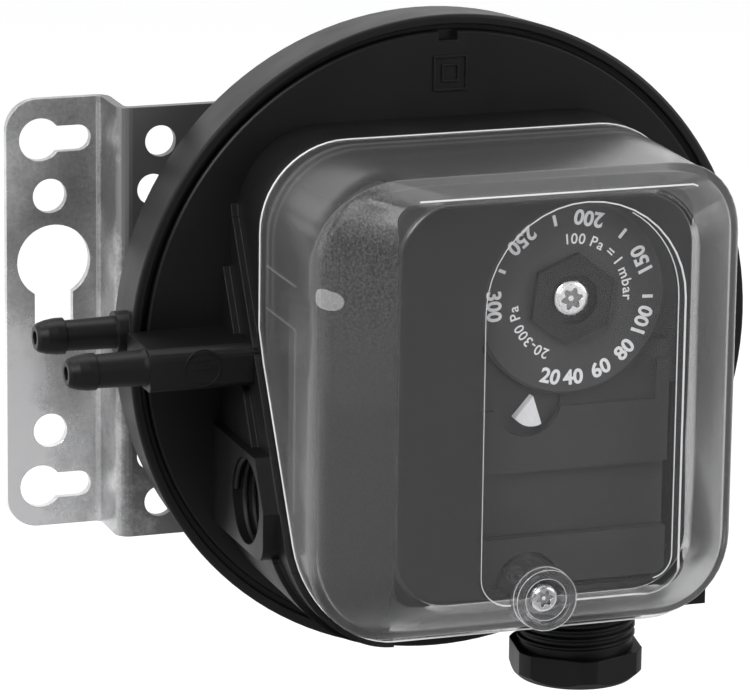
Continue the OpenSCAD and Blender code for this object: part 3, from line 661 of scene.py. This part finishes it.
# Painted highlight: a fine white edge on the right of the frame's opening, where its chamfer catches the light
lip_highlight = [(DIAL.x + 17.3 * math.cos(math.radians(a)), 17.0 + 17.3 * math.sin(math.radians(a))) for a in range(60, -1, -6)]
lip_highlight += [(DIAL.x + 17.3, 0.0), (DIAL.x + 17.3, -27.4)] + arc(DIAL.x + 13.3, -27.4, 4.0, 0, -80, 8)
lip_highlight_in = [(DIAL.x + 17.15 * math.cos(math.radians(a)), 17.0 + 17.15 * math.sin(math.radians(a)))
          for a in range(60, -1, -6)]
lip_highlight_in += [(DIAL.x + 17.15, 0.0), (DIAL.x + 17.15, -27.4)] + arc(DIAL.x + 13.3, -27.4, 3.85, 0, -80, 8)
edge = bmesh.new()
add_band(edge, lip_highlight_in, lip_highlight, -48.45, -48.3, front, False)
finish_piece("window_lip_highlight", edge, "base", "print", 35)

# Painted highlight: a pale line along the top edge of the panel
top_edge_highlight = bmesh.new()
add_prism(top_edge_highlight, [(-23.0, 36.45), (24.6, 36.45), (25.4, 36.1), (25.5, 36.3), (24.7, 36.68), (-22.8, 36.68)],
          -51.02, -50.7, front)
finish_piece("panel_edge_highlight", top_edge_highlight, "cover", "edge", 35)


# Painted highlight: a thin pale bead along the cover's rim stands in for the bright reflection on its edge
def rim_highlight_bead():
    mesh = bmesh.new()
    loops = []
    for grow, rise in ((0.02, 0.02), (0.14, 0.05), (0.14, 0.45), (0.02, 0.5)):
        outline = box_loop(BOX_HALF + grow, -BOX_BOTTOM - grow, BOX_TOP + grow, BOX_CORNER + grow, 14, 8)
        loops.append([mesh.verts.new(at(x, -rim_height(z) - rise, z)) for x, z in outline])
    count = len(loops[0])
    for k in range(4):
        a, b = loops[k], loops[(k + 1) % 4]
        for i in range(count):
            j = (i + 1) % count
            mesh.faces.new((a[i], a[j], b[j], b[i]))
    finish_piece("rim_highlight_bead", mesh, "cover", "edge", 50)


rim_highlight_bead()

# Ribs inside the skirt on the left
ribs = bmesh.new()
for y0, y1, z0, z1 in ((-28.7, -13.5, 18.0, 18.25), (-28.7, -13.5, 10.7, 10.95), (-28.9, -28.65, -22.0, 10.95)):
    add_prism(ribs, [(y0, z0), (y1, z0), (y1, z1), (y0, z1)], -35.7, -35.4, lambda u, v, w: at(w, u, v))
finish_piece("skirt_ribs", ribs, "cover", "milky", 35)

# Smooth lug on the textured slope
lug = bmesh.new()
along = Vector((11.7, -10.0)).normalized()
out = Vector((-10.0, -11.7)).normalized()
shape = []
for i in range(24):
    a = 2 * math.pi * i / 24
    shape.append((2.35 * math.cos(a), 1.6 * math.sin(a)))
for i, (u, v) in enumerate(shape):
    if u < 0:
        shape[i] = (u * 1.15, v + (0.9 if v > 0 else -0.1) * min(1.0, -u / 2.0))


def on_slope(u, v, w):
    p = Vector((-35.3, -43.05)) + along * u + out * w
    return at(p.x, p.y, 19.1 + v)


add_prism(lug, shape, -0.1, 0.12, on_slope)
finish_piece("slope_lug", lug, "cover", "milky", 40)


# Lettering and marks on the dial


def text_mesh(mesh, text, size, centre, angle, depth, bold=0.0):
    """Adds flat lettering, centred at (x, z), turned by angle as seen from the front."""
    curve = bpy.data.curves.new("glyph", "FONT")
    curve.body = text
    curve.size = size
    curve.align_x = "CENTER"
    curve.align_y = "CENTER"
    curve.offset = bold
    curve.resolution_u = 4
    obj = bpy.data.objects.new("glyph", curve)
    bpy.context.collection.objects.link(obj)
    bpy.context.view_layer.update()
    flat = obj.evaluated_get(bpy.context.evaluated_depsgraph_get()).to_mesh()
    made = bmesh.new()
    made.from_mesh(flat)
    a = math.radians(angle)
    verts = [mesh.verts.new(at(centre[0] + v.co.x * math.cos(a) - v.co.y * math.sin(a), depth,
                               centre[1] + v.co.x * math.sin(a) + v.co.y * math.cos(a))) for v in made.verts]
    for face in made.faces:
        mesh.faces.new([verts[v.index] for v in face.verts])
    made.free()
    obj.to_mesh_clear()
    bpy.data.objects.remove(obj)
    bpy.data.curves.remove(curve)


def polar(r, angle):
    a = math.radians(angle)
    return (DIAL.x + r * math.cos(a), DIAL.z + r * math.sin(a))


marks = bmesh.new()
print_depth = DIAL_FACE - 0.04
for text, angle in (("20", 255.6), ("40", 272.9), ("60", 294.1), ("80", 315.5), ("100", 339), ("150", 24),
                    ("200", 78), ("250", 131), ("300", 182.3)):
    text_mesh(marks, text, 3.5, polar(13.7, angle), angle + 90, print_depth, 0.11)
for angle, reach in ((-2.8, 14.6), (49.3, 14.6), (103.4, 14.6), (156.5, 14.0)):
    a = math.radians(angle)
    along = (math.cos(a), math.sin(a))
    across = (-along[1], along[0])
    corners = []
    for r, s in ((12.7, -0.28), (reach, -0.28), (reach, 0.28), (12.7, 0.28)):
        corners.append((DIAL.x + r * along[0] + s * across[0], DIAL.z + r * along[1] + s * across[1]))
    marks.faces.new([marks.verts.new(front(u, v, print_depth)) for u, v in corners])

WIDTHS = {" ": 0.30, "1": 0.46, "=": 0.62, "-": 0.40, "m": 0.86, "b": 0.58, "a": 0.55, "r": 0.40, "P": 0.60}


def curved_text(mesh, text, size, r, start, depth):
    """Sets letters one by one along a circle, tops outward, clockwise from the start angle."""
    angle = start
    for letter in text:
        width = WIDTHS.get(letter, 0.56) * size * 0.98
        step = math.degrees(width / r)
        if letter != " ":
            text_mesh(mesh, letter, size, polar(r, angle - step / 2), angle - step / 2 - 90, depth, 0.03)
        angle -= step


curved_text(marks, "100 Pa = 1 mbar", 2.5, 9.95, 98.5, print_depth)
curved_text(marks, "20-300 Pa", 2.5, 10.1, 248, print_depth)
finish_piece("dial_marks", marks, "setting_dial", "print")


# Hub and bright screws with six-lobed recesses


def lobes(cx, cz, r, swing, turn, count=48):
    points = []
    for i in range(count):
        a = 2 * math.pi * i / count
        reach = r + swing * math.cos(6 * (a - math.radians(turn)))
        points.append((cx + reach * math.cos(a), cz + reach * math.sin(a)))
    return points


def screw_head(name, cx, cz, r, back, face, recess, turn, tip, body, node):
    """A pan head with a six-lobed recess, and its shank, instead of the CAD's own screw; the recess gets a dark plug
    of painted shade and a small bright pin as a painted glint.
    """
    mesh = bmesh.new()
    star = lobes(cx, cz, 0.52 * r, 0.11 * r, turn)
    add_band(mesh, star, lobes(cx, cz, 0.78 * r, 0.0, 0), face, back, front)
    add_turned(mesh, [(0.78 * r, face), (0.9 * r, face + 0.12), (r, face + 0.45), (r, back), (0.78 * r, back)],
               around(cx, cz))
    add_prism(mesh, star, face + recess, back, front)
    add_prism(mesh, lobes(cx, cz, 1.45, 0.0, 0), back, tip, front)
    obj = finish_piece(name, mesh, body, "screw", 40)
    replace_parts(obj, node)
    # painted shade: a dark plug in the recess
    dark = bmesh.new()
    add_prism(dark, lobes(cx, cz, 0.5 * r, 0.105 * r, turn), face + 0.6 * recess, back, front)
    finish_piece(name + "_recess", dark, body, "recess", 40)
    # painted glint: a small bright pin in the recess
    glint_piece = bmesh.new()
    add_prism(glint_piece, lobes(cx - 0.04 * r, cz + 0.02 * r, 0.15 * r, 0.02 * r, 0), face + 0.35 * recess, back, front)
    finish_piece(name + "_glint", glint_piece, body, "screw", 40)


hub = bmesh.new()
hexagon = []
for i in range(48):
    a = math.radians(7.5 * i)
    reach = 6.75 / math.cos(math.radians((7.5 * i - 22.5) % 60.0 - 30.0))
    hexagon.append((DIAL.x + reach * math.cos(a), DIAL.z + reach * math.sin(a)))
add_band(hub, lobes(DIAL.x, DIAL.z, 4.3, 0.0, 0), hexagon, -44.7, -43.5, front)
add_turned(hub, [(1.6, -43.7), (4.3, -43.7), (4.3, -43.55), (1.6, -43.55)], around(DIAL.x, DIAL.z))
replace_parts(finish_piece("hub_plate", hub, "setting_dial", "hub", 30), "dial_hub")
screw_head("dial_screw_head", DIAL.x - 0.1, DIAL.z, 3.1, -43.7, -44.3, 0.4, 10, -37.0, "setting_dial", "dial_screw")
screw_head("cover_screw_head", 0.0, SCREW_Z, 2.3, -49.8, -51.2, 0.9, 10, -26.0, "cover_fastener", "cover_screw")


# Pointer with its round foot
sign = bmesh.new()
add_prism(sign, [(0.2, 0.35), (1.75, -4.45), (1.2, -4.7), (0.4, -4.82), (-0.5, -4.78), (-1.4, -4.5), (-2.2, -4.0),
                 (-2.95, -3.25)], -43.0, -41.3, front)
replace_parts(finish_piece("pointer_plate", sign, "base", "white", 40), "pointer")


# Screw threads drawn as a helical ridge


def thread_mesh(name, axis_place, r_root, r_crest, pitch, low, high, body, key):
    mesh = bmesh.new()
    per_turn = 40
    count = int((high - low - pitch) / pitch * per_turn)
    side = [(r_root, -0.42 * pitch), (r_crest, -0.1 * pitch), (r_crest, 0.1 * pitch), (r_root, 0.42 * pitch)]
    rings = []
    for i in range(count + 1):
        a = 2 * math.pi * i / per_turn
        w0 = low + pitch / 2 + pitch * i / per_turn
        rings.append([mesh.verts.new(axis_place(r * math.cos(a), r * math.sin(a), w0 + w)) for r, w in side])
    for a, b in zip(rings, rings[1:]):
        for k in range(4):
            n = (k + 1) % 4
            mesh.faces.new((a[k], a[n], b[n], b[k]))
    mesh.faces.new(rings[0])
    mesh.faces.new(rings[-1][::-1])
    return finish_piece(name, mesh, body, key, 30)


thread_mesh("gland_thread", lambda u, v, w: at(18.0 + u, -20.0 + v, w), 9.7, 10.25, 1.5, -51.1, -43.9,
            "base", "black")
thread_mesh("conduit_thread", lambda u, v, w: at(w, -18.4 + u, -21.1 + v), 7.45, 6.95, 1.5, -41.6, -35.6,
            "base", "black")


# Measuring spring: a coil running towards the lever, with a mesh of its own
def coil_mesh(name, cx, cz, radius, wire, turns, low, high, body, key):
    mesh = bmesh.new()
    per_turn = 28
    sides = 8
    steps = turns * per_turn
    rings = []
    for i in range(steps + 1):
        a = 2 * math.pi * i / per_turn
        y = low + (high - low) * i / steps
        ring = []
        for j in range(sides):
            b = 2 * math.pi * j / sides
            r = radius + wire * math.cos(b)
            ring.append(mesh.verts.new(at(cx + r * math.cos(a), y + wire * math.sin(b), cz + r * math.sin(a))))
        rings.append(ring)
    for a, b in zip(rings, rings[1:]):
        for k in range(sides):
            n = (k + 1) % sides
            mesh.faces.new((a[k], a[n], b[n], b[k]))
    mesh.faces.new(rings[0])
    mesh.faces.new(rings[-1][::-1])
    return finish_piece(name, mesh, body, key, 40)


spring_coil = coil_mesh("spring_coil", 6.3, 16.9, 5.0, 0.55, 7, -27.9, -9.35, "base", "spring")
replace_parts(spring_coil, "measuring_spring")
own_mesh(spring_coil)


# Raised marks on the front plate: the double square and the ring with the minus sign
def square_band(mesh, cx, cz, half, width, low, high):
    outer = [(cx - half, cz - half), (cx + half, cz - half), (cx + half, cz + half), (cx - half, cz + half)]
    h = half - width
    inner = [(cx - h, cz - h), (cx + h, cz - h), (cx + h, cz + h), (cx - h, cz + h)]
    add_band(mesh, inner, outer, low, high, front)


emblem = bmesh.new()
square_band(emblem, 0.5, 46.3, 3.1, 0.4, -0.3, 0.1)
square_band(emblem, 0.5, 46.3, 1.6, 0.4, -0.3, 0.1)
finish_piece("insulation_mark", emblem, "base", "rim", 30)

minus = bmesh.new()
add_band(minus, arc(-47.9, 1.3, 2.95, 0, 351, 39), arc(-47.9, 1.3, 3.25, 0, 351, 39), -14.15, -13.9, front)
add_prism(minus, [(-49.4, 1.1), (-46.4, 1.1), (-46.4, 1.5), (-49.4, 1.5)], -14.15, -13.9, front)
finish_piece("minus_mark", minus, "base", "rim", 30)


# Painted highlight: a fine bright line along the bracket's first bend, where its rounding catches the light
bend_highlight = bmesh.new()
add_prism(bend_highlight, [(-52.75, -37.5), (-52.6, -37.5), (-52.6, 37.5), (-52.75, 37.5)], 33.14, 33.3, front)
finish_piece("bend_highlight_line", bend_highlight, "base", "bend_highlight", 30)


# Floor, lights and background


def make_floor():
    mesh = bmesh.new()
    low_z = cad_low[2] - 0.11
    size = 4.0
    corners = [(-size, -size), (size, -size), (size, size), (-size, size)]
    mesh.faces.new([mesh.verts.new((x, y, low_z)) for x, y in corners])
    data = bpy.data.meshes.new("floor")
    mesh.to_mesh(data)
    mesh.free()
    floor = bpy.data.objects.new("floor", data)
    bpy.context.collection.objects.link(floor)
    s = Shader("floor_white")
    tone = s.noise(2.0, 2.0)
    s.put("Base Color", s.tint(tone, grey(0.36), grey(0.38)))
    s.put("Roughness", 0.9)
    s.put("Specular IOR Level", 0.1)
    path = s.node("ShaderNodeLightPath")
    place = s.node("ShaderNodeSeparateXYZ")
    s.link(s.coord, place.inputs[0])
    behind = s.math("MULTIPLY", s.ramp(place.outputs[1], 0.0, 1.0, 0.05, 0.4), path.outputs["Is Glossy Ray"])
    seen = s.math("MAXIMUM", path.outputs["Is Camera Ray"], path.outputs["Is Transmission Ray"])
    glow = s.node("ShaderNodeEmission")
    s.link(s.math("MULTIPLY", s.math("MAXIMUM", seen, behind), 0.77), glow.inputs["Strength"])
    both = s.node("ShaderNodeAddShader")
    s.link(s.bsdf.outputs[0], both.inputs[0])
    s.link(glow.outputs[0], both.inputs[1])
    s.link(both.outputs[0], s.out.inputs[0])
    data.materials.append(s.mat)


def make_light(name, place, target, size_x, size_y, watts):
    data = bpy.data.lights.new(name, "AREA")
    data.shape = "RECTANGLE"
    data.size = size_x
    data.size_y = size_y
    data.energy = watts
    lamp = bpy.data.objects.new(name, data)
    bpy.context.collection.objects.link(lamp)
    lamp.location = place
    lamp.rotation_euler = (Vector(target) - Vector(place)).to_track_quat("-Z", "Y").to_euler()


def make_world():
    world = bpy.data.worlds.new("world")
    bpy.context.scene.world = world
    world.use_nodes = True
    tree = world.node_tree
    tree.nodes.clear()
    out = tree.nodes.new("ShaderNodeOutputWorld")
    back = tree.nodes.new("ShaderNodeBackground")
    back.inputs[0].default_value = (1.0, 1.0, 1.0, 1.0)
    path = tree.nodes.new("ShaderNodeLightPath")
    # the white backdrop stands behind the object, and the room in front of it is darker
    direction = tree.nodes.new("ShaderNodeTexCoord")
    split = tree.nodes.new("ShaderNodeSeparateXYZ")
    tree.links.new(direction.outputs["Generated"], split.inputs[0])
    behind = tree.nodes.new("ShaderNodeMapRange")
    for socket, value in (("From Min", -0.2), ("From Max", 0.5), ("To Min", 0.16), ("To Max", 1.0)):
        behind.inputs[socket].default_value = value
    tree.links.new(split.outputs[1], behind.inputs["Value"])
    strength = 0.3
    for ray, shown in (("Is Glossy Ray", behind.outputs[0]), ("Is Transmission Ray", 1.0), ("Is Camera Ray", 1.0)):
        mix = tree.nodes.new("ShaderNodeMix")
        tree.links.new(path.outputs[ray], mix.inputs[0])
        for index, value in ((2, strength), (3, shown)):
            if isinstance(value, float):
                mix.inputs[index].default_value = value
            else:
                tree.links.new(value, mix.inputs[index])
        strength = mix.outputs[0]
    tree.links.new(strength, back.inputs[1])
    tree.links.new(back.outputs[0], out.inputs[0])


make_floor()
make_world()
target = tuple(at(0, -20, 0))
make_light("key_light", (-0.75, -0.75, 0.85), target, 0.7, 0.7, 16.0)
make_light("side_light", (-0.95, 0.05, 0.25), target, 0.5, 0.9, 3.6)
make_light("fill_light", (0.95, -0.85, 0.35), target, 0.8, 0.8, 7.0)
make_light("top_light", (0.1, 0.15, 1.1), target, 0.9, 0.6, 4.5)

bpy.context.scene.view_settings.view_transform = "Standard"
